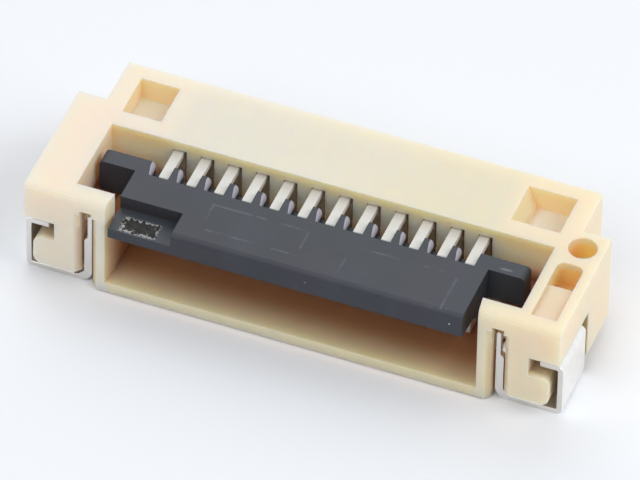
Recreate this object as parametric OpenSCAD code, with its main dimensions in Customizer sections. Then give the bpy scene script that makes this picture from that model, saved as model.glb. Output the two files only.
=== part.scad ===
// Right-angle connector for a flat flexible cable, with a flip-up locking lever at the front.
// X runs along the row of contacts, the cable goes in along +Y, Z is up from the circuit board.
// The origin lies on the board's surface, below the middle of the part. Depths are counted from
// the front faces of the ears.

/* [Circuits] */
// Number of contacts in the row
circuits = 12; // [4:1:30]
// Distance from one contact to the next
pitch = 0.5; // [0.45:0.01:0.6]

/* [Housing] */
// Height of the housing's top above the board
height = 2.0; // [1.9:0.05:2.4]
// Gap between the board and the housing's underside
board_gap = 0.03; // [0.01:0.01:0.06]
// Gap between the board and the undersides of the side arms
arm_gap = 0.26; // [0.22:0.01:0.32]
// Depth of the housing, from the front of the ears to its rear face
depth = 3.45; // [3.2:0.05:4.5]
// Depth of the two side arms, from the front of the ears
arm_depth = 2.46; // [2.35:0.02:2.6]
// Width of each side arm beside the lever's cavity
arm_w = 0.82; // [0.8:0.01:1.0]
// How far each end of the rear block is set in from its arm
rear_step = 0.515; // [0.4:0.005:0.6]
// Thickness of the floor plate under the cable
plate_t = 0.205; // [0.18:0.005:0.24]
// Play between the cable's edge and each side of its channel
cable_play = 0.04; // [0.02:0.01:0.1]
// How far the channel widens at its mouth on each side
lead_in = 0.05; // [0.02:0.01:0.08]
// Depth of the ears' inward strips, front to back
ear_depth = 0.35; // [0.3:0.01:0.45]
// Length of each lever seat, outward from the cable channel
seat_len = 0.69; // [0.6:0.01:0.8]
// Depth of the front cavity, from the front of the ears to its rear wall
cavity_depth = 1.93; // [1.85:0.01:2.1]

/* [Housing details] */
// Width of each pocket in the rear block, along X
pocket_w = 0.71; // [0.5:0.01:0.75]
// Length of each pocket, along Y
pocket_l = 0.88; // [0.6:0.01:1.0]
// Depth of each pocket
pocket_depth = 0.47; // [0.2:0.01:0.8]
// Distance from each pocket to the end of the rear block
pocket_side = 0.345; // [0.3:0.005:0.4]
// Distance from each pocket to the rear face
pocket_rear = 0.29; // [0.2:0.01:0.4]
// How far the right pocket's inner wall leans out at its top
pocket_lean = 0.17; // [0.0:0.01:0.25]
// Diameter of the blind hole in the right arm
hole_d = 0.50; // [0.3:0.01:0.54]
// Depth of the blind hole
hole_depth = 0.5; // [0.2:0.05:0.8]
// Distance from the hole's centre to the rear of its arm
hole_rear = 0.38; // [0.32:0.01:0.4]
// Distance from the hole's centre to the outer side of its arm
hole_side = 0.38; // [0.32:0.01:0.44]
// Width of the long groove in the right arm
groove_w = 0.46; // [0.3:0.01:0.5]
// Length of the long groove
groove_l = 1.37; // [1.0:0.01:1.5]
// Depth of the long groove
groove_depth = 0.10; // [0.05:0.01:0.2]
// Length of the well at the groove's rear end
well_l = 0.50; // [0.4:0.01:0.8]
// Depth of the well
well_depth = 0.50; // [0.3:0.05:0.65]
// Distance from the groove to the front of its ear
groove_front = 0.28; // [0.2:0.01:0.3]

/* [Contacts] */
// Thickness of each contact blade
blade_t = 0.18; // [0.12:0.01:0.19]
// How far each blade sits to the left of the middle of its slot
blade_shift = 0.025; // [0.0:0.005:0.03]
// Width of the slot that each blade stands in
blade_slot_w = 0.25; // [0.24:0.01:0.28]
// Distance from the housing's top down to the slots
slot_drop = 0.195; // [0.12:0.005:0.2]
// Distance from the housing's top down to the contacts' upper arms
arm_drop = 0.24; // [0.22:0.01:0.26]
// Height of the upper arm
upper_arm_h = 0.12; // [0.1:0.01:0.12]
// Height of the lower spring beam
beam_h = 0.14; // [0.1:0.01:0.18]
// Height of the contact bump above the spring beam
bump_h = 0.2; // [0.1:0.01:0.25]
// Length of each solder tail's foot behind the housing
foot_l = 0.55; // [0.4:0.05:0.8]
// Thickness of each solder tail's foot
foot_t = 0.14; // [0.1:0.01:0.18]

/* [Lever] */
// Distance from the housing's top down to the lever's top
lever_drop = 0.15; // [0.1:0.01:0.16]
// Thickness of the lever's front edge
lever_t = 0.49; // [0.4:0.01:0.55]
// How far the lever stands out in front of the ears
lever_overhang = 0.085; // [0.02:0.005:0.15]
// Play at each side of the lever between the ears
lever_play = 0.12; // [0.1:0.01:0.2]
// Play at each end of the lever's trunnions
trunnion_play = 0.16; // [0.1:0.01:0.2]
// How far the lever sits to the left of the middle, inside its play
lever_shift = 0.08; // [0.0:0.01:0.08]
// Width of each slot in the lever's comb
comb_w = 0.34; // [0.33:0.005:0.36]
// Diameter of the pivot rod in the comb slots
pivot_d = 0.20; // [0.14:0.01:0.2]
// Height of the step down to the moulding gate at the lever's front left corner
gate_step = 0.26; // [0.1:0.01:0.3]
// Width of the moulding gate's step, along X
gate_w = 1.13; // [0.8:0.01:1.4]
// Depth of the moulding gate's step, back from the ears' front
gate_l = 0.485; // [0.3:0.005:0.6]

/* [Solder nails] */
// Thickness of the nails' metal strip
nail_t = 0.10; // [0.09:0.005:0.12]
// How far the nails stand out from the sides of the housing
nail_proud = 0.02; // [0.0:0.01:0.05]
// Width of the strip, front to back
nail_w = 1.10; // [0.9:0.02:1.15]
// How far the strip is set back from the front of the ears
nail_setback = 0.15; // [0.1:0.01:0.2]
// Height of the hook's top above the board
hook_top = 1.09; // [1.05:0.01:1.15]
// Length of the hook, inward from the nail's outer face
hook_len = 0.42; // [0.38:0.01:0.46]
// Height of the inner leg's tip above the board
inner_leg_h = 1.50; // [1.4:0.02:1.55]

/* [Hidden] */
$fn = 48;
// Cuts start this far outside the solid, so that no skin is left
out = 0.5;
// Bodies that are joined reach this far into each other
lap = 0.02;

// Housing: places along X, counted from the middle
cable_w = (circuits + 1) * pitch;
channel_x = cable_w / 2 + cable_play;
cavity_x = channel_x + seat_len;
side_x = cavity_x + arm_w;
rear_x = side_x - rear_step;
first_x = -(circuits - 1) * pitch / 2;

// Housing: heights above the board
plate_z = board_gap + plate_t;
slot_z = height - slot_drop;

// Housing: radius of the rear corners of the groove and of its well
groove_r = 0.14;

// Lever: the pivot's place follows the contacts' claws and the cavity's rear wall
lever_top = height - lever_drop;
lever_bottom = lever_top - lever_t;
lever_x = channel_x - lever_play;
trunnion_x = cavity_x - trunnion_play;
arm_top = height - arm_drop;
arm_bottom = arm_top - upper_arm_h;
rod_gap = 0.02;
pivot_z = arm_bottom - rod_gap - pivot_d / 2;
pivot_back = 0.52;
pivot_y = cavity_depth - pivot_back;

// Lever: section, counted from the pivot
heel = 0.065;
comb_l = 0.26;
trunnion_l = 0.255;
trunnion_drop = 0.36;
trunnion_r = 0.40;
lever_rear = pivot_y + heel;
comb_y = pivot_y - comb_l;
comb_r = lever_top - pivot_z;
trunnion_y = pivot_y - trunnion_l;
trunnion_z = pivot_z - trunnion_drop;

// Lever: lip that presses on the cable, and the slopes before and behind it
lip_drop = 0.16;
lip_l = 0.32;
lip_back = 0.03;
lip_slope = 0.25;
belly = 0.05;
heel_rise = 0.10;
front_bevel = 0.04;
lip_z = trunnion_z - lip_drop;
lip_rear = comb_y - lip_back;
lip_front = lip_rear - lip_l;

// Housing: seats that the trunnions rest in
seat_gap = 0.06;
seat_z = pivot_z - trunnion_r - seat_gap / 2;

// Contacts: claw under the upper arm, in front of the pivot rod
claw_back = 0.06;
claw_gap = 0.03;
claw_bevel = 0.05;
claw_front = comb_y + claw_back;
claw_rear = pivot_y - pivot_d / 2 - claw_gap;
claw_z = pivot_z + claw_gap;

// Contacts: base behind the cable's stop, and the sprung lower beam
stop_back = 0.62;
base_gap = 0.08;
base_wall = 0.15;
base_bevel = [0.20, 0.15];
beam_gap = 0.05;
beam_reach = 0.08;
bump_back = 0.12;
bump_r = 0.10;
cable_stop = cavity_depth + stop_back;
base_front = cable_stop + base_gap;
base_rear = depth - base_wall;
beam_tip = claw_front - beam_reach;
beam_z = plate_z + beam_gap;
beam_top = beam_z + beam_h;
bump_y = beam_tip + bump_back;
channel_gap = 0.08;
channel_top = lip_z + channel_gap;

// Contacts: solder tail behind the housing
tail_gap = 0.05;
tail_w = 0.14;
tail_h = 0.30;
tail_bevel = 0.06;
tail_front = depth + tail_gap;
tail_rear = tail_front + foot_l;
tail_z = plate_z + tail_h;

// Nails: the strip's outer face, hook, bar and inner leg
nail_x = side_x + nail_proud;
nail_y = nail_setback;
bend_r = 0.12;
leg_bend_r = 0.22;
leg_fillet = 0.11;
leg_back = 0.33;
inner_leg_t = 0.15;
inner_leg_x = channel_x + leg_back;
shoulder_drop = 0.18;
shoulder_z = seat_z - shoulder_drop;
tip_t = 0.09;
tip_w = 0.12;
tip_bevel = 0.03;

// Nails: the arm's openings follow the strip
leg_play = 0.0325;
tip_room = 0.12;
strip_room = 0.17;
hook_room_below = 0.12;
hook_room_above = 0.17;
leg_slot_w = inner_leg_t + 2 * leg_play;
leg_slot_x = inner_leg_x - leg_play;
leg_slot_z = inner_leg_h + tip_room;
tip_slot_l = nail_y + tip_w + lap;
mouth = 0.12;
ear_cut_l = nail_y + nail_w + strip_room;
block_gap = 0.09;
block_x = nail_x - nail_t - block_gap;
block_r = 0.17;
neck_gap = 0.15;
neck_x = nail_x - hook_len - neck_gap;
notch_bottom = hook_top - nail_t - hook_room_below;
notch_top = hook_top + hook_room_above;

// The origin lies below the middle of the part
middle_y = (tail_rear - lever_overhang) / 2;

function contact_name(i) = str("contact_", i < 10 ? "0" : "", i);

// Points of an arc about (x, y), from angle a to angle b
function arc(x, y, r, a, b, n = 8) =
    [for (k = [0:n]) let (t = a + (b - a) * k / n) [x + r * cos(t), y + r * sin(t)]];

// A box from its lowest to its highest corner
module box(low, high) {
    translate(low) cube(high - low);
}

// An outline in the YZ plane, made w long along X
module along_x(x, w) {
    translate([x, 0, 0]) rotate([90, 0, 90]) linear_extrude(w) children();
}

// An outline in the XZ plane, made l long along Y
module along_y(y, l) {
    translate([0, y + l, 0]) rotate([90, 0, 0]) linear_extrude(l) children();
}

// What is drawn, and its mirror image
module both_sides() {
    children();
    mirror([1, 0, 0]) children();
}

// Open space for the lever and the cable between the two arms
module cavity() {
    box([-cavity_x, ear_depth, seat_z], [cavity_x, cavity_depth, height + out]);
    box([-channel_x, -out, plate_z], [channel_x, cavity_depth, height + out]);
    box([-channel_x, cavity_depth - lap, plate_z], [channel_x, cable_stop, channel_top]);
    both_sides()
        translate([0, 0, plate_z]) linear_extrude(height)
            polygon([
                [channel_x - lap, -out], [channel_x + lead_in * (1 + out / ear_depth), -out],
                [channel_x, ear_depth], [channel_x - lap, ear_depth]
            ]);
}

// One slot for a contact blade, open to the front and to the rear
module blade_slot() {
    box([-blade_slot_w / 2, cavity_depth - out / 2, plate_z], [blade_slot_w / 2, depth + out, slot_z]);
}

// Blind pocket in the right end of the rear block; its inner wall leans out by this much at the top
module pocket(lean) {
    x = rear_x - pocket_side;
    floor_z = height - pocket_depth;
    along_y(depth - pocket_rear - pocket_l, pocket_l)
        polygon([
            [x - pocket_w, floor_z], [x, floor_z], [x, height + out],
            [x - pocket_w - lean * (1 + out / pocket_depth), height + out]
        ]);
}

// Recess in the right arm's top with round rear corners: place of its rear end, length and depth
module round_mark(rear, l, mark_depth) {
    half_w = groove_w / 2;
    y = rear - groove_r;
    translate([side_x - arm_w / 2, 0, height - mark_depth])
        linear_extrude(mark_depth + out)
            polygon(concat(
                [[-half_w, rear - l], [half_w, rear - l]],
                arc(half_w - groove_r, y, groove_r, 0, 90),
                arc(groove_r - half_w, y, groove_r, 90, 180)
            ));
}

// Long shallow groove with a deep well at its rear end, and the hole behind it, all in the right arm
module arm_marks() {
    groove_rear = groove_front + groove_l;
    round_mark(groove_rear, groove_l, groove_depth);
    round_mark(groove_rear, well_l, well_depth);
    translate([side_x - hole_side, arm_depth - hole_rear, height - hole_depth])
        cylinder(h = hole_depth + out, d = hole_d);
}

// Section of what stays of an ear below its notch: a neck, and a block with round outer corners
module ear_section() {
    polygon(concat(
        [[leg_slot_x + leg_slot_w, notch_top + out], [leg_slot_x + leg_slot_w, arm_gap]],
        arc(block_x - block_r, arm_gap + block_r, block_r, -90, 0),
        arc(block_x - block_r, notch_bottom - block_r, block_r, 0, 90),
        [[neck_x, notch_bottom], [neck_x, notch_top + out]]
    ));
}

// Openings for a solder nail in the right arm, whose underside stands clear of the board
module nail_openings() {
    box([leg_slot_x, -out, -out], [side_x + out, arm_depth, arm_gap]);
    along_y(-out, ear_cut_l + out)
        difference() {
            translate([leg_slot_x, -out]) square([side_x - leg_slot_x + out, notch_top + out]);
            ear_section();
        }
    box([leg_slot_x, -out, -out], [leg_slot_x + leg_slot_w, ear_cut_l, shoulder_z + lap]);
    box([leg_slot_x, -out, -out], [leg_slot_x + leg_slot_w, tip_slot_l, leg_slot_z]);
    translate([0, 0, -out]) linear_extrude(leg_slot_z + out)
        polygon([
            [leg_slot_x - mouth, -lap], [leg_slot_x + leg_slot_w + mouth, -lap],
            [leg_slot_x + leg_slot_w, mouth], [leg_slot_x, mouth]
        ]);
    along_x(leg_slot_x, leg_slot_w)
        polygon([
            [-lap, leg_slot_z - lap], [mouth, leg_slot_z - lap],
            [mouth, leg_slot_z], [-lap, leg_slot_z + mouth]
        ]);
}

// Moulded housing in one piece
module housing() {
    color([0.95, 0.89, 0.77])
    difference() {
        union() {
            box([-side_x, 0, board_gap], [side_x, arm_depth, height]);
            box([-rear_x, arm_depth - lap, board_gap], [rear_x, depth, height]);
        }
        cavity();
        for (i = [0:circuits - 1])
            translate([first_x + i * pitch, 0, 0]) blade_slot();
        pocket(pocket_lean);
        mirror([1, 0, 0]) pocket(0);
        both_sides() nail_openings();
        arm_marks();
    }
}

// Section of the lever between its trunnions
module lever_section() {
    polygon([
        [-lever_overhang, lever_top], [-lever_overhang, lever_bottom + front_bevel],
        [-lever_overhang + front_bevel, lever_bottom], [lip_front - lip_slope, lever_bottom - belly],
        [lip_front, lip_z], [lip_rear, lip_z],
        [lip_rear + heel_rise, trunnion_z + heel_rise], [lever_rear, trunnion_z + heel_rise],
        [lever_rear, lever_top]
    ]);
}

// Section of a trunnion: a block whose lower corners are round about the pivot
module trunnion_section() {
    translate([trunnion_y, pivot_z]) square([lever_rear - trunnion_y, lever_top - pivot_z]);
    intersection() {
        translate([trunnion_y, trunnion_z]) square([lever_rear - trunnion_y, pivot_z - trunnion_z + lap]);
        translate([pivot_y, pivot_z]) circle(r = trunnion_r);
    }
}

// Flip-up locking lever, lying shut
module lever() {
    color([0.26, 0.27, 0.31])
    translate([-lever_shift, 0, 0]) {
        difference() {
            union() {
                along_x(-lever_x, 2 * lever_x) lever_section();
                along_x(-trunnion_x, 2 * trunnion_x) trunnion_section();
            }
            box([-lever_x - lap, -out, lever_top - gate_step], [gate_w - lever_x, gate_l, height + out]);
            for (i = [0:circuits - 1])
                translate([first_x + i * pitch - comb_w / 2, 0, 0]) comb_slot();
        }
        for (i = [0:circuits - 1])
            translate([first_x + i * pitch - comb_w / 2 - lap, pivot_y, pivot_z])
                rotate([0, 90, 0]) cylinder(h = comb_w + 2 * lap, d = pivot_d);
    }
}

// One slot of the lever's comb, round about the pivot so that the claw clears it as the lever turns
module comb_slot() {
    translate([0, pivot_y, pivot_z]) rotate([0, 90, 0]) cylinder(h = comb_w, r = comb_r);
    box([0, comb_y, 0], [comb_w, lever_rear + out, height + out]);
}

// Outline of a contact: claw and upper arm, base, sprung lower beam with its bump, and solder tail
module contact_outline() {
    polygon([
        [claw_front, claw_z], [claw_rear, claw_z], [claw_rear, arm_bottom],
        [base_front - base_bevel.x, arm_bottom], [base_front, arm_bottom - base_bevel.y],
        [base_front, beam_top + base_bevel.y], [base_front - base_bevel.x, beam_top],
        [bump_y, beam_top], [beam_tip, beam_top], [beam_tip, beam_z],
        [base_front - base_bevel.x, beam_z], [base_front, plate_z],
        [tail_front, plate_z], [tail_front, foot_t / 2], [tail_front + foot_t / 2, 0],
        [tail_rear, 0], [tail_rear, foot_t],
        [tail_front + tail_w, foot_t], [tail_front + tail_w, tail_z - tail_bevel],
        [tail_front + tail_w - tail_bevel, tail_z], [base_rear, tail_z], [base_rear, arm_top],
        [claw_front + claw_bevel, arm_top], [claw_front, arm_top - claw_bevel]
    ]);
    translate([bump_y, beam_top + bump_h - bump_r]) circle(r = bump_r);
    translate([bump_y - bump_r, beam_z]) square([2 * bump_r, beam_h + bump_h - bump_r]);
}

// Contact number i, counted from the left
module contact(i) {
    color([0.88, 0.88, 0.86])
        along_x(first_x + (i - 1) * pitch - blade_shift - blade_t / 2, blade_t) contact_outline();
}

// Outline of the right nail: hook, outer leg, solder bar and the broad part of the inner leg
module nail_outline() {
    hook_z = hook_top - nail_t;
    leg_x = inner_leg_x + inner_leg_t;
    polygon(concat(
        [[inner_leg_x, shoulder_z]], arc(inner_leg_x + leg_bend_r, leg_bend_r, leg_bend_r, 180, 270),
        arc(nail_x - bend_r, bend_r, bend_r, -90, 0),
        arc(nail_x - bend_r, hook_top - bend_r, bend_r, 0, 90),
        [[nail_x - hook_len, hook_top], [nail_x - hook_len, hook_z], [nail_x - nail_t, hook_z]],
        [[nail_x - nail_t, nail_t], [leg_x + leg_fillet, nail_t]],
        [[leg_x, nail_t + leg_fillet], [leg_x, shoulder_z]]
    ));
}

// Outline of the inner leg's narrow tip, which stands in the ear's slot
module nail_tip_outline() {
    x = inner_leg_x;
    z = shoulder_z + tip_bevel;
    polygon([
        [x, shoulder_z - lap], [x + inner_leg_t, shoulder_z - lap], [x + inner_leg_t, z],
        [x + tip_t, z + inner_leg_t - tip_t], [x + tip_t, inner_leg_h - tip_bevel],
        [x + tip_t - tip_bevel, inner_leg_h], [x + tip_bevel, inner_leg_h],
        [x, inner_leg_h - tip_bevel]
    ]);
}

// Solder nail in the right arm, bent from one strip
module nail_right() {
    color([0.80, 0.80, 0.78]) {
        along_y(nail_y, nail_w) nail_outline();
        along_y(nail_y, tip_w) nail_tip_outline();
    }
}

// Its mirror image in the left arm
module nail_left() {
    mirror([1, 0, 0]) nail_right();
}

translate([0, -middle_y, 0]) {
    housing();
    lever();
    for (i = [1:circuits])
        contact(i);
    nail_left();
    nail_right();
}
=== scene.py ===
from math import cos, radians, sin

import bmesh
import bpy
from mathutils import Matrix, Vector


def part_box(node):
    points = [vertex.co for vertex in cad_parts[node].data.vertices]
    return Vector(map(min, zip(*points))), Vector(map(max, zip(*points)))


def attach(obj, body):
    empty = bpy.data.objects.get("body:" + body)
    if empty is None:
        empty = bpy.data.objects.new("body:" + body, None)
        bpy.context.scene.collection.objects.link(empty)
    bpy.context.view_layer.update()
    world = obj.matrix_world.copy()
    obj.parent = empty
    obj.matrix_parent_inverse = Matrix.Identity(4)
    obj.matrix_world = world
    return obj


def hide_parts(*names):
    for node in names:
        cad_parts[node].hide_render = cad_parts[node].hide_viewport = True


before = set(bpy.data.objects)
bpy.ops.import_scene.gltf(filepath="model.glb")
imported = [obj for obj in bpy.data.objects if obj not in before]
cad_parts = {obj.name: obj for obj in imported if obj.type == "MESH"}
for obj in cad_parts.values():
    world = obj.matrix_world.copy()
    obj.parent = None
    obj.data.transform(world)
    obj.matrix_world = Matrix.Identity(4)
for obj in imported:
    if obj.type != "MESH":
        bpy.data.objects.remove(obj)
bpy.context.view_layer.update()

# ---------------------------------------------------------------------------
# Housing
# One moulding in heat-proof ivory plastic, with a matte skin and slightly
# soft edges. The ears' front top edges are rounder than the others.

MM = 0.001


def merged_copy(node, name):
    """A working copy of a CAD node: one closed mesh with flat faces in one piece each."""
    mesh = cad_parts[node].data.copy()
    mesh.name = name
    mesh.materials.clear()
    for attribute in ("UVMap", "sharp_edge", "custom_normal"):
        if attribute in mesh.attributes:
            mesh.attributes.remove(mesh.attributes[attribute])
    shape = bmesh.new()
    shape.from_mesh(mesh)
    bmesh.ops.remove_doubles(shape, verts=shape.verts, dist=1e-4 * MM)
    bmesh.ops.dissolve_limit(shape, angle_limit=radians(1), verts=shape.verts, edges=shape.edges)
    for face in shape.faces:
        face.smooth = False
    shape.to_mesh(mesh)
    shape.free()
    piece = bpy.data.objects.new(name, mesh)
    bpy.context.scene.collection.objects.link(piece)
    return piece


def split_rear(piece, rear_y):
    """Cuts the notched rear face into convex parts, which keep their shape under a bevel."""
    shape = bmesh.new()
    shape.from_mesh(piece.data)
    rear = [face for face in shape.faces if face.normal.y > 0.99 and face.calc_center_median().y > rear_y]
    bmesh.ops.connect_verts_concave(shape, faces=rear)
    shape.to_mesh(piece.data)
    shape.free()


def bevelled(piece, width, segments):
    """Adds a bevel with rounded corners; soften and round_over say which edges it takes."""
    bevel = piece.modifiers.new("bevel", "BEVEL")
    bevel.width = width
    bevel.segments = segments
    bevel.miter_outer = "MITER_ARC"
    bevel.harden_normals = True
    return bevel


def soften(piece, width):
    """Lightly rounds every sharp edge."""
    bevel = bevelled(piece, width, 2)
    bevel.limit_method = "ANGLE"
    bevel.angle_limit = radians(35)


def round_over(piece, width, chosen, segments=4):
    """Rounds some edges more widely; chosen says yes or no to an edge's two ends."""
    bevel = bevelled(piece, width, segments)
    bevel.limit_method = "WEIGHT"
    bevel.use_clamp_overlap = False
    mesh = piece.data
    weights = mesh.attributes.new("bevel_weight_edge", "FLOAT", "EDGE")
    for index, edge in enumerate(mesh.edges):
        start, end = [mesh.vertices[v].co for v in edge.vertices]
        weights.data[index].value = 1.0 if chosen(start, end) else 0.0


class Value:
    """A shader socket for use in Python arithmetic: each operator adds a Math node."""

    def __init__(self, paint, socket):
        self.paint = paint
        self.socket = socket

    def math(self, operation, *others, swap=False):
        """The result of a Math node; swap puts this value after the others."""
        terms = [self, *others]
        if swap:
            terms.reverse()
        return self.paint.node("ShaderNodeMath", {"operation": operation}, dict(enumerate(terms)))

    def __add__(self, other):
        return self.math("ADD", other)

    def __sub__(self, other):
        return self.math("SUBTRACT", other)

    def __rsub__(self, other):
        return self.math("SUBTRACT", other, swap=True)

    def __mul__(self, other):
        return self.math("MULTIPLY", other)

    def __truediv__(self, other):
        return self.math("DIVIDE", other)

    def power(self, exponent):
        return self.math("POWER", exponent)

    def absolute(self):
        return self.math("ABSOLUTE")

    def greater(self, other):
        return self.math("MAXIMUM", other)

    def above(self, edge, width=0.1):
        """0 well below the edge, 1 well above it, with a soft step between."""
        settings = {"interpolation_type": "SMOOTHSTEP"}
        inputs = {0: self, 1: edge - width / 2, 2: edge + width / 2}
        return self.paint.node("ShaderNodeMapRange", settings, inputs)

    def below(self, edge, width=0.1):
        return 1 - self.above(edge, width)

    __radd__ = __add__
    __rmul__ = __mul__


class Paint:
    """One material's nodes, round a Principled shader."""

    def __init__(self, name):
        self.material = bpy.data.materials.new(name)
        self.material.use_nodes = True
        self.nodes = self.material.node_tree.nodes
        self.links = self.material.node_tree.links
        self.nodes.clear()
        self.output = self.nodes.new("ShaderNodeOutputMaterial")
        self.shader = self.nodes.new("ShaderNodeBsdfPrincipled")
        self.links.new(self.shader.outputs[0], self.output.inputs["Surface"])
        self.place = self.node("ShaderNodeTexCoord", output="Object")

    def node(self, kind, settings=None, inputs=None, output=0):
        """Adds a node, sets it up, fills or links its inputs, and gives one of its outputs."""
        node = self.nodes.new(kind)
        for name, value in (settings or {}).items():
            setattr(node, name, value)
        self.fill(node, inputs or {})
        return Value(self, node.outputs[output])

    def fill(self, node, inputs):
        """Links the values to the node's inputs, and sets the numbers on them."""
        for name, value in inputs.items():
            if isinstance(value, Value):
                self.links.new(value.socket, node.inputs[name])
            else:
                node.inputs[name].default_value = value

    def along(self, axis):
        """The distance from the origin along X, Y or Z."""
        return self.node("ShaderNodeSeparateXYZ", inputs={"Vector": self.place}, output=axis)

    def noise(self, size, detail=3.0, roughness=0.5, stretch=(1, 1, 1)):
        """Noise whose blots are about size metres across, from 0 to 1 round 0.5."""
        place = self.node("ShaderNodeMapping", inputs={"Vector": self.place, "Scale": stretch})
        inputs = {"Vector": place, "Scale": 1 / size, "Detail": detail, "Roughness": roughness}
        return self.node("ShaderNodeTexNoise", inputs=inputs)

    def blend(self, mask, first, second):
        """The first colour where the mask is 0 and the second where it is 1."""
        return self.node(
            "ShaderNodeMix", {"data_type": "RGBA"}, {"Factor": mask, 6: first, 7: second}, output=2
        )

    def bump(self, height, depth):
        """A normal from a height of 0 to 1 that stands for depth metres."""
        return self.node("ShaderNodeBump", inputs={"Height": height, "Distance": depth, "Strength": 1.0})

    def finish(self, **inputs):
        """Sets the shader's sockets; a name's underscores stand for spaces."""
        self.fill(self.shader, {name.replace("_", " "): value for name, value in inputs.items()})


housing = merged_copy("housing", "housing_moulding")
front_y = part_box("housing")[0].y
ear_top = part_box("housing")[1].z
side_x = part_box("housing")[1].x
blade_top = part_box("contact_01")[1].z

# Half-widths, from the middle of the row.
slots_half = 2.9 * MM
channel_half = 3.29 * MM
well_half = 3.98 * MM
block_half = 4.285 * MM
block_side = 4.60 * MM
leg_slot = (3.57 * MM, 3.82 * MM)
# Depths, from the ears' front.
front_round = 0.14 * MM
nail_depth = 1.45 * MM
rear_wall_depth = 1.85 * MM
cavity_depth = 1.93 * MM
well_depth = 2.06 * MM
pocket_front = 2.25 * MM
arm_depth = 2.46 * MM
housing_depth = 3.45 * MM
# Heights, from the board.
plate_top = 0.235 * MM
deep_top = 1.25 * MM
notch_top = 1.27 * MM
marks_bottom = 1.30 * MM
pocket_floor = 1.53 * MM
leg_slot_top = 1.63 * MM
wall_middle = 1.75 * MM
mark_floor = 1.86 * MM


def ivory_plastic():
    """Pale on the outer skin, with painted warm shade in each recess and painted deep orange-brown shade far
    inside the cable channel.
    """
    cream_left = (0.88, 0.745, 0.61, 1)
    cream_right = (0.89, 0.72, 0.525, 1)
    pocket_floor_light = (0.85, 0.80, 0.68, 1)
    recess_warm_shade = (0.90, 0.70, 0.42, 1)
    sill_warm_shade = (1.0, 0.71, 0.44, 1)
    wall_light_low = (1.0, 0.83, 0.60, 1)
    wall_light_high = (1.0, 0.73, 0.44, 1)
    groove_floor_shade = (0.70, 0.58, 0.39, 1)
    orange = (0.93, 0.60, 0.22, 1)
    channel_deep_shade = (0.52, 0.22, 0.09, 1)
    slot_shade_brown = (0.34, 0.21, 0.08, 1)
    nail_shadow = (0.36, 0.29, 0.16, 1)

    paint = Paint("ivory_plastic")
    flow = paint.noise(1.6 * MM, detail=2.0, stretch=(0.5, 1.0, 1.0))
    grain = paint.noise(0.05 * MM, detail=4.0, roughness=0.65)
    side = paint.along("X").absolute()
    back = paint.along("Y") - front_y
    height = paint.along("Z")
    skin = 0.02 * MM

    cloud = paint.along("X").above(0, 9 * MM) + 0.8 * (flow - 0.5)
    outer = paint.blend(cloud.above(0.5, 1.0), cream_left, cream_right)

    # Where a point lies: each of these is 1 there and 0 elsewhere.
    in_arms = side.below(side_x - skin, skin) * back.below(arm_depth - skin, skin)
    in_block = side.below(block_half - skin, skin) * back.below(housing_depth - skin, skin)
    inside = back.above(skin, skin) * height.below(ear_top - skin, skin) * in_arms.greater(in_block)
    inside = inside * (back - height).above(front_round + skin - ear_top, skin)
    in_well = side.below(well_half + skin, skin) * back.below(well_depth, skin)
    low = height.below(deep_top, 0.35 * MM)
    past_well = side.above(well_half + skin, skin)
    floors = height.below(pocket_floor + skin, skin) * back.above(pocket_front, skin)
    pocket_floors = inside * floors * side.above(channel_half, skin) * height.above(pocket_floor - skin, skin)
    shallow = inside * in_arms * past_well * height.above(mark_floor, 0.04 * MM)
    in_marks = in_arms * past_well * height.above(marks_bottom, 0.1 * MM)
    in_leg_slot = side.below(leg_slot[1], skin) * height.below(leg_slot_top, skin)
    round_nail = height.below(notch_top, skin).greater(in_leg_slot) * side.above(leg_slot[0], skin)
    round_nail = inside * round_nail * back.below(nail_depth, skin)
    shaded = round_nail * back.above(0.08 * MM, 0.14 * MM)
    recess = inside * (1 - floors) * (1 - shallow) * (1 - round_nail) * (0.75 - 0.4 * in_well * (1 - low))
    sill = height.below(plate_top + skin, skin) * side.below(channel_half, skin) * back.below(skin, skin)
    channel = inside * in_well * low * back.above(0.32 * MM, 1.0 * MM)
    rear_wall = inside * in_well * (1 - low) * back.above(rear_wall_depth, 0.1 * MM)
    in_slots = in_block * back.above(cavity_depth + skin, skin) * side.below(slots_half, skin)
    in_slots = in_slots * height.above(plate_top + skin, skin) * height.below(blade_top, skin)

    # Painted warm shade in the recesses, for light bounced round inside the plastic.
    colour = paint.blend(recess, outer, recess_warm_shade)
    # Pocket floors painted a paler cream, as painted light.
    colour = paint.blend(pocket_floors, colour, pocket_floor_light)
    # Painted warm shade on the plate's front edge below the cable channel.
    colour = paint.blend(0.8 * sill, colour, sill_warm_shade)
    # Painted shade on the floor of the shallow groove.
    colour = paint.blend(0.6 * shallow, colour, groove_floor_shade)
    # Painted warm light on the cavity's rear wall, more orange above its middle.
    wall_painted_light = paint.blend(height.above(wall_middle, 0.3 * MM), wall_light_low, wall_light_high)
    colour = paint.blend(rear_wall, colour, wall_painted_light)
    colour = paint.blend(shaded * (0.6 + 0.3 * side.above(block_side, skin)), colour, nail_shadow)
    # Painted shade in the contact slots.
    colour = paint.blend(0.65 * in_slots, colour, slot_shade_brown)
    # Painted orange shade inside the marks on the arms.
    colour = paint.blend(in_marks * recess, colour, orange)
    # Painted deep orange-brown shade far inside the cable channel.
    colour = paint.blend(channel, colour, channel_deep_shade)
    paint.finish(
        Base_Color=colour,
        Roughness=0.42 + 0.16 * grain,
        Normal=paint.bump(grain, 0.004 * MM),
        Subsurface_Weight=0.8,
        Subsurface_Radius=(1.0, 0.7, 0.35),
        Subsurface_Scale=0.7 * MM,
        Specular_IOR_Level=0.5,
    )
    return paint.material


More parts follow.
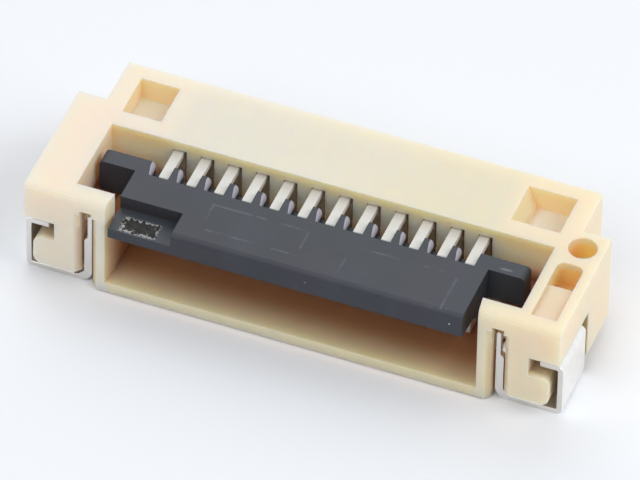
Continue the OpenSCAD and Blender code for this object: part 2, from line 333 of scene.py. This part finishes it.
def ear_front(a, b):
    """The ears' front top edges."""
    return max(a.y, b.y) < front_y + 0.01 * MM and min(a.z, b.z) > ear_top - 0.01 * MM


housing_edge = 0.035 * MM
split_rear(housing, front_y + housing_depth - 0.01 * MM)
round_over(housing, front_round, ear_front)
soften(housing, housing_edge)
housing.data.materials.append(ivory_plastic())
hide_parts("housing")
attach(housing, "base")

# ---------------------------------------------------------------------------
# Locking lever
# A moulding in slate-black plastic, with a comb for the contacts, a stepped
# corner at the moulding gate and soft edges. It turns on its two trunnions.

lever = merged_copy("lever", "lever_moulding")
lever_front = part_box("lever")[0].y
lever_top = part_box("lever")[1].z
trunnion_half = 3.6 * MM
step_floor = lever_top - 0.26 * MM
step_back = front_y + 0.485 * MM
step_right = -2.0 * MM
scuff_x = 3.37 * MM
scuff_y = front_y + 1.26 * MM
# The comb: one slot per contact, with teeth between them.
pitch = 0.5 * MM
first_contact = -5.5 * pitch
lever_shift = 0.08 * MM
tooth_edge = -0.17 * MM
tooth_round = 0.09 * MM
comb_front = front_y + 1.15 * MM
# Left, right, front and back of what the mould and its gate leave, in millimetres from the ears' front.
insert_left = (-1.72, 0.0, 0.26, 0.88)
insert_right = (0.79, 2.68, -0.05, 0.83)
gate_mark = (-3.06, -2.44, -0.03, 0.30)


def right_of_tooth(x):
    """Where x lies between one tooth's right edge, 0, and the next one's, 1."""
    return ((x + lever_shift - first_contact - tooth_edge) / pitch) % 1.0


def lever_edge(a, b):
    """The top edges at the front, at the trunnions' ends and on the right of each tooth."""
    near = 0.01 * MM
    if min(a.z, b.z) < lever_top - near:
        return False
    if max(a.y, b.y) < lever_front + near or min(abs(a.x), abs(b.x)) > trunnion_half:
        return True
    share = right_of_tooth(a.x)
    on_tooth = abs(a.x - b.x) < near and min(share, 1 - share) < 0.02
    return on_tooth and min(a.y, b.y) > comb_front - 0.05 * MM


def dark_plastic():
    """Slate-black, with the marks that moulding and handling leave, and a painted highlight on the teeth's
    right edges.
    """
    slate_dark = (0.024, 0.0285, 0.038, 1)
    slate_light = (0.033, 0.0375, 0.050, 1)
    plum = (0.034, 0.029, 0.043, 1)
    teal = (0.023, 0.033, 0.040, 1)
    step_slate = (0.042, 0.048, 0.058, 1)
    riser_black = (0.034, 0.033, 0.039, 1)
    line_grey = (0.22, 0.23, 0.27, 1)
    rubbed_grey = (0.25, 0.26, 0.28, 1)
    torn_dark = (0.011, 0.012, 0.010, 1)
    torn_light = (0.030, 0.031, 0.027, 1)
    burr_grey = (0.42, 0.42, 0.42, 1)
    tooth_highlight = (0.42, 0.41, 0.47, 1)

    paint = Paint("dark_plastic")
    cloud = paint.noise(0.8 * MM, detail=3.0)
    hue = paint.noise(1.3 * MM, detail=1.0)
    patches = paint.noise(0.35 * MM, detail=1.0)
    grain = paint.noise(0.03 * MM, detail=3.0, roughness=0.6)
    ragged = paint.noise(0.07 * MM, detail=3.0, roughness=0.7)
    dust_inputs = {"Vector": paint.place, "Scale": 1 / (0.22 * MM)}
    dust = paint.node("ShaderNodeTexVoronoi", {"feature": "F1"}, dust_inputs)
    x = paint.along("X")
    y = paint.along("Y")
    height = paint.along("Z")
    crisp = 0.01 * MM

    def ring(outline, wander):
        """Distance from a rectangle's outline, seen from above, in millimetres."""
        left, right, front, rear = outline
        across = (x / MM - (left + right) / 2).absolute() - (right - left) / 2
        along = ((y - front_y) / MM - (front + rear) / 2).absolute() - (rear - front) / 2
        return across.greater(along) + wander * (ragged - 0.5)

    # Faint broken lines round the mould's two inserts, whole at one corner.
    face = height.above(lever_top - crisp, crisp)
    line_left = ring(insert_left, 0.03).absolute().below(0.02, 0.03)
    line_right = ring(insert_right, 0.03).absolute().below(0.02, 0.03)
    broken = ragged.above(0.45, 0.2) * patches.above(0.52, 0.12)
    corner = (x + 1.4 * MM).absolute().below(0.38 * MM, 0.1 * MM) * (y - front_y).above(0.7 * MM, 0.05 * MM)
    witness = face * broken.greater(corner * ragged.above(0.38, 0.2)) * line_left.greater(line_right)

    # The gate's step: its floor, the riser behind it, and the torn mark with a burr round it.
    on_step = height.below(step_floor + 0.02 * MM, crisp) * height.above(step_floor - 0.02 * MM, crisp)
    on_step = on_step * x.below(step_right, crisp) * y.above(lever_front + 0.02 * MM, 0.02 * MM)
    on_step = on_step * y.below(step_back - crisp, crisp)
    riser = y.above(step_back - 0.02 * MM, crisp) * y.below(step_back + 0.02 * MM, crisp)
    riser = riser * x.below(step_right, crisp) * height.below(lever_top - 0.02 * MM, crisp)
    gate = ring(gate_mark, 0.30)
    torn = on_step * gate.below(0.0, 0.04)
    burr = on_step * gate.absolute().below(0.022, 0.03) * ragged.above(0.47, 0.12)

    # The teeth's rounded right edges, with a painted highlight where they catch the light.
    tooth = ((x + (lever_shift - first_contact - tooth_edge + tooth_round)) / pitch).math("FRACT")
    facet_highlight = tooth.below(1.08 * tooth_round / pitch, 0.02) * y.above(comb_front, 0.02 * MM)
    facet_highlight = facet_highlight * x.above(first_contact - 0.8 * pitch, 0.02 * MM) * x.below(-first_contact, 0.02 * MM)
    facet_highlight = facet_highlight * height.below(lever_top - 0.006 * MM, 0.006 * MM)
    facet_highlight = facet_highlight * height.above(lever_top - tooth_round - 0.05 * MM, 0.08 * MM)

    # Specks near the front edge, and a rubbed spot on the right trunnion.
    near_edge = y.below(lever_front + 0.12 * MM, 0.08 * MM)
    specks = dust.below(0.08, 0.06) * cloud.above(0.56, 0.04) * near_edge
    scuff_across = ((x - scuff_x) / (0.11 * MM)).power(2)
    scuff_along = ((y - scuff_y) / (0.03 * MM)).power(2)
    rubbed = face * (scuff_across + scuff_along + 2 * (ragged - 0.5)).below(1.0, 0.9)

    colour = paint.blend(cloud.above(0.5, 0.4), slate_dark, slate_light)
    colour = paint.blend(0.5 * hue.above(0.55, 0.2), colour, plum)
    colour = paint.blend(0.5 * hue.below(0.45, 0.2), colour, teal)
    colour = paint.blend(on_step, colour, step_slate)
    colour = paint.blend(0.22 * witness, colour, line_grey)
    colour = paint.blend(0.35 * rubbed, colour, rubbed_grey)
    colour = paint.blend(torn, colour, paint.blend(ragged.above(0.5, 0.2), torn_dark, torn_light))
    colour = paint.blend(burr.greater(specks), colour, burr_grey)
    # Painted highlight on the teeth's right edges.
    colour = paint.blend(facet_highlight, colour, tooth_highlight)
    colour = paint.blend(riser, colour, riser_black)
    paint.finish(
        Base_Color=colour,
        Roughness=0.42 + 0.12 * grain + 0.3 * torn,
        Normal=paint.bump(grain + 1.5 * ragged * torn + burr + 0.5 * witness, 0.003 * MM),
        Specular_IOR_Level=0.42,
    )
    return paint.material


lever_soft_edge = 0.022 * MM
round_over(lever, tooth_round, lever_edge)
soften(lever, lever_soft_edge)
lever.data.materials.append(dark_plastic())
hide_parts("lever")
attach(lever, "lever")

# ---------------------------------------------------------------------------
# Contacts
# Blades stamped from thin spring bronze and plated bright. They are pressed
# into the housing's slots from the rear.


def plated_metal(name, colour, roughness, metallic=0.85, cut_edge=None, in_shade=None):
    """Plating, duller on the front edge at cut_edge, and dark between the two places along Y in in_shade."""
    shadow_brown = (0.12, 0.08, 0.035, 1)
    paint = Paint(name)
    cloud = paint.noise(0.15 * MM, detail=3.0)
    strokes = paint.noise(0.02 * MM, detail=2.0, stretch=(1.0, 0.15, 0.3))
    y = paint.along("Y")
    shade = paint.blend(cloud.above(0.5, 0.5), tuple(0.93 * c for c in colour) + (1,), colour + (1,))
    if cut_edge is not None:
        cut = y.below(cut_edge + 0.01 * MM, 0.01 * MM)
        shade = paint.blend(cut, shade, tuple(0.78 * c for c in colour) + (1,))
    if in_shade is not None:
        hidden = y.above(in_shade[0], 0.03 * MM) * y.below(in_shade[1], 0.03 * MM)
        shade = paint.blend(hidden, shade, shadow_brown)
    paint.finish(
        Base_Color=shade,
        Metallic=metallic,
        Roughness=roughness + 0.1 * cloud,
        Normal=paint.bump(strokes, 0.001 * MM),
    )
    return paint.material


satin_tin = (0.71, 0.70, 0.66)
in_rear_wall = (front_y + cavity_depth + 0.11 * MM, front_y + 2.6 * MM)
contact_metal = plated_metal(
    "contact_metal", satin_tin, roughness=0.62, metallic=0.25, in_shade=in_rear_wall
)
contact_nodes = sorted(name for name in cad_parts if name.startswith("contact_"))
strip_edge = 0.02 * MM
blade = merged_copy(contact_nodes[0], "blade")
soften(blade, strip_edge)

row_tree = bpy.data.node_groups.new("contact_row", "GeometryNodeTree")
for label, kind in (("Blade", "NodeSocketObject"), ("Count", "NodeSocketInt"), ("Pitch", "NodeSocketFloat")):
    row_tree.interface.new_socket(label, in_out="INPUT", socket_type=kind)
row_tree.interface.new_socket("Geometry", in_out="OUTPUT", socket_type="NodeSocketGeometry")
sizes = row_tree.nodes.new("NodeGroupInput")
step = row_tree.nodes.new("ShaderNodeCombineXYZ")
places = row_tree.nodes.new("GeometryNodeMeshLine")
shape = row_tree.nodes.new("GeometryNodeObjectInfo")
row = row_tree.nodes.new("GeometryNodeInstanceOnPoints")
solid = row_tree.nodes.new("GeometryNodeRealizeInstances")
plated = row_tree.nodes.new("GeometryNodeSetMaterial")
plated.inputs["Material"].default_value = contact_metal
end = row_tree.nodes.new("NodeGroupOutput")
for start, finish in (
    (sizes.outputs["Pitch"], step.inputs["X"]),
    (sizes.outputs["Count"], places.inputs["Count"]),
    (step.outputs["Vector"], places.inputs["Offset"]),
    (sizes.outputs["Blade"], shape.inputs["Object"]),
    (places.outputs["Mesh"], row.inputs["Points"]),
    (shape.outputs["Geometry"], row.inputs["Instance"]),
    (row.outputs["Instances"], solid.inputs["Geometry"]),
    (solid.outputs["Geometry"], plated.inputs["Geometry"]),
    (plated.outputs["Geometry"], end.inputs["Geometry"]),
):
    row_tree.links.new(start, finish)

maker = bpy.data.objects.new("contact_row_maker", bpy.data.meshes.new("contact_row_maker"))
bpy.context.scene.collection.objects.link(maker)
modifier = maker.modifiers.new("row", "NODES")
modifier.node_group = row_tree
row_sizes = {"Blade": blade, "Count": len(contact_nodes), "Pitch": pitch}
for socket in row_tree.interface.items_tree:
    if socket.name in row_sizes:
        modifier[socket.identifier] = row_sizes[socket.name]
made = bpy.data.meshes.new_from_object(maker.evaluated_get(bpy.context.evaluated_depsgraph_get()))
contact_row = bpy.data.objects.new("contact_row", made)
bpy.context.scene.collection.objects.link(contact_row)
for used in (maker, blade):
    bpy.data.objects.remove(used)
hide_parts(*contact_nodes)
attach(contact_row, "base")

# ---------------------------------------------------------------------------
# Solder nails
# Strips of tinned brass, bent round the ears. They hold the housing to the
# board.

bright_tin = (0.95, 0.93, 0.90)
nail_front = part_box("nail_right")[0].y
nail_metal = plated_metal("nail_metal", bright_tin, roughness=0.32, cut_edge=nail_front)
for side in ("left", "right"):
    nail = merged_copy("nail_" + side, "strip_" + side)
    soften(nail, strip_edge)
    nail.data.materials.append(nail_metal)
    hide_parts("nail_" + side)
    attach(nail, "base")

# ---------------------------------------------------------------------------
# Stage
# A plain pale floor, soft studio light from above, and a camera with a long
# lens in front of the right-hand end.

floor_reach = 0.6
floor_colour = (0.89, 0.91, 0.94, 1)
sky_colour = (0.93, 0.96, 1.0, 1)
sky_light = 0.35
sky_seen = 0.9

corners = [(-floor_reach, -floor_reach, 0), (floor_reach, -floor_reach, 0)]
corners += [(floor_reach, floor_reach, 0), (-floor_reach, floor_reach, 0)]
floor_mesh = bpy.data.meshes.new("floor")
floor_mesh.from_pydata(corners, [], [(0, 1, 2, 3)])
floor = bpy.data.objects.new("floor", floor_mesh)
bpy.context.scene.collection.objects.link(floor)
floor_paint = Paint("floor")
floor_paint.finish(Base_Color=floor_colour, Roughness=0.9, Specular_IOR_Level=0.1)
floor.data.materials.append(floor_paint.material)

# The sky is pale where it is seen, mirrored or looked through, and dimmer as a light.
world = bpy.data.worlds.new("studio")
bpy.context.scene.world = world
world.use_nodes = True
sky = world.node_tree.nodes["Background"]
sky.inputs["Color"].default_value = sky_colour
ray = world.node_tree.nodes.new("ShaderNodeLightPath")
mirrored = world.node_tree.nodes.new("ShaderNodeMath")
mirrored.operation = "MAXIMUM"
world.node_tree.links.new(ray.outputs["Is Glossy Ray"], mirrored.inputs[0])
world.node_tree.links.new(ray.outputs["Is Transmission Ray"], mirrored.inputs[1])
seen = world.node_tree.nodes.new("ShaderNodeMath")
seen.operation = "MAXIMUM"
world.node_tree.links.new(ray.outputs["Is Camera Ray"], seen.inputs[0])
world.node_tree.links.new(mirrored.outputs[0], seen.inputs[1])
strength = world.node_tree.nodes.new("ShaderNodeMapRange")
strength.inputs["To Min"].default_value = sky_light
strength.inputs["To Max"].default_value = sky_seen
world.node_tree.links.new(seen.outputs[0], strength.inputs["Value"])
world.node_tree.links.new(strength.outputs[0], sky.inputs["Strength"])

target = Vector((0, front_y + 1.8 * MM, 1.0 * MM))


def softbox(name, place, size, power):
    """A square lamp that faces the object's middle."""
    light = bpy.data.lights.new(name, "AREA")
    light.energy = power
    light.size = size
    lamp = bpy.data.objects.new(name, light)
    bpy.context.scene.collection.objects.link(lamp)
    lamp.location = place
    lamp.rotation_euler = (target - Vector(place)).to_track_quat("-Z", "Y").to_euler()


softbox("right_light", place=(0.17, 0.0, 0.15), size=0.16, power=0.265)
softbox("front_light", place=(-0.04, -0.13, 0.175), size=0.16, power=0.162)
softbox("back_light", place=(-0.07, 0.155, 0.16), size=0.20, power=0.18)

azimuth = radians(20.3)
elevation = radians(43.9)
roll = radians(1.3)
distance = 0.18
aim_left = 0.143 * MM
aim_down = 0.12 * MM
back = Vector((sin(azimuth) * cos(elevation), -cos(azimuth) * cos(elevation), sin(elevation)))
level_right = Vector((0, 0, 1)).cross(back).normalized()
level_up = back.cross(level_right)
right = cos(roll) * level_right + sin(roll) * level_up
up = back.cross(right)
camera_data = bpy.data.cameras.new("camera")
camera_data.lens = 602.0
camera_data.sensor_width = 36.0
camera_data.clip_start = 0.005
camera_data.clip_end = 20.0
camera = bpy.data.objects.new("camera", camera_data)
bpy.context.scene.collection.objects.link(camera)
place = target + distance * back - aim_left * right - aim_down * up
camera.matrix_world = Matrix.Translation(place) @ Matrix((right, up, back)).transposed().to_4x4()
bpy.context.scene.camera = camera
bpy.context.scene.view_settings.view_transform = "Standard"
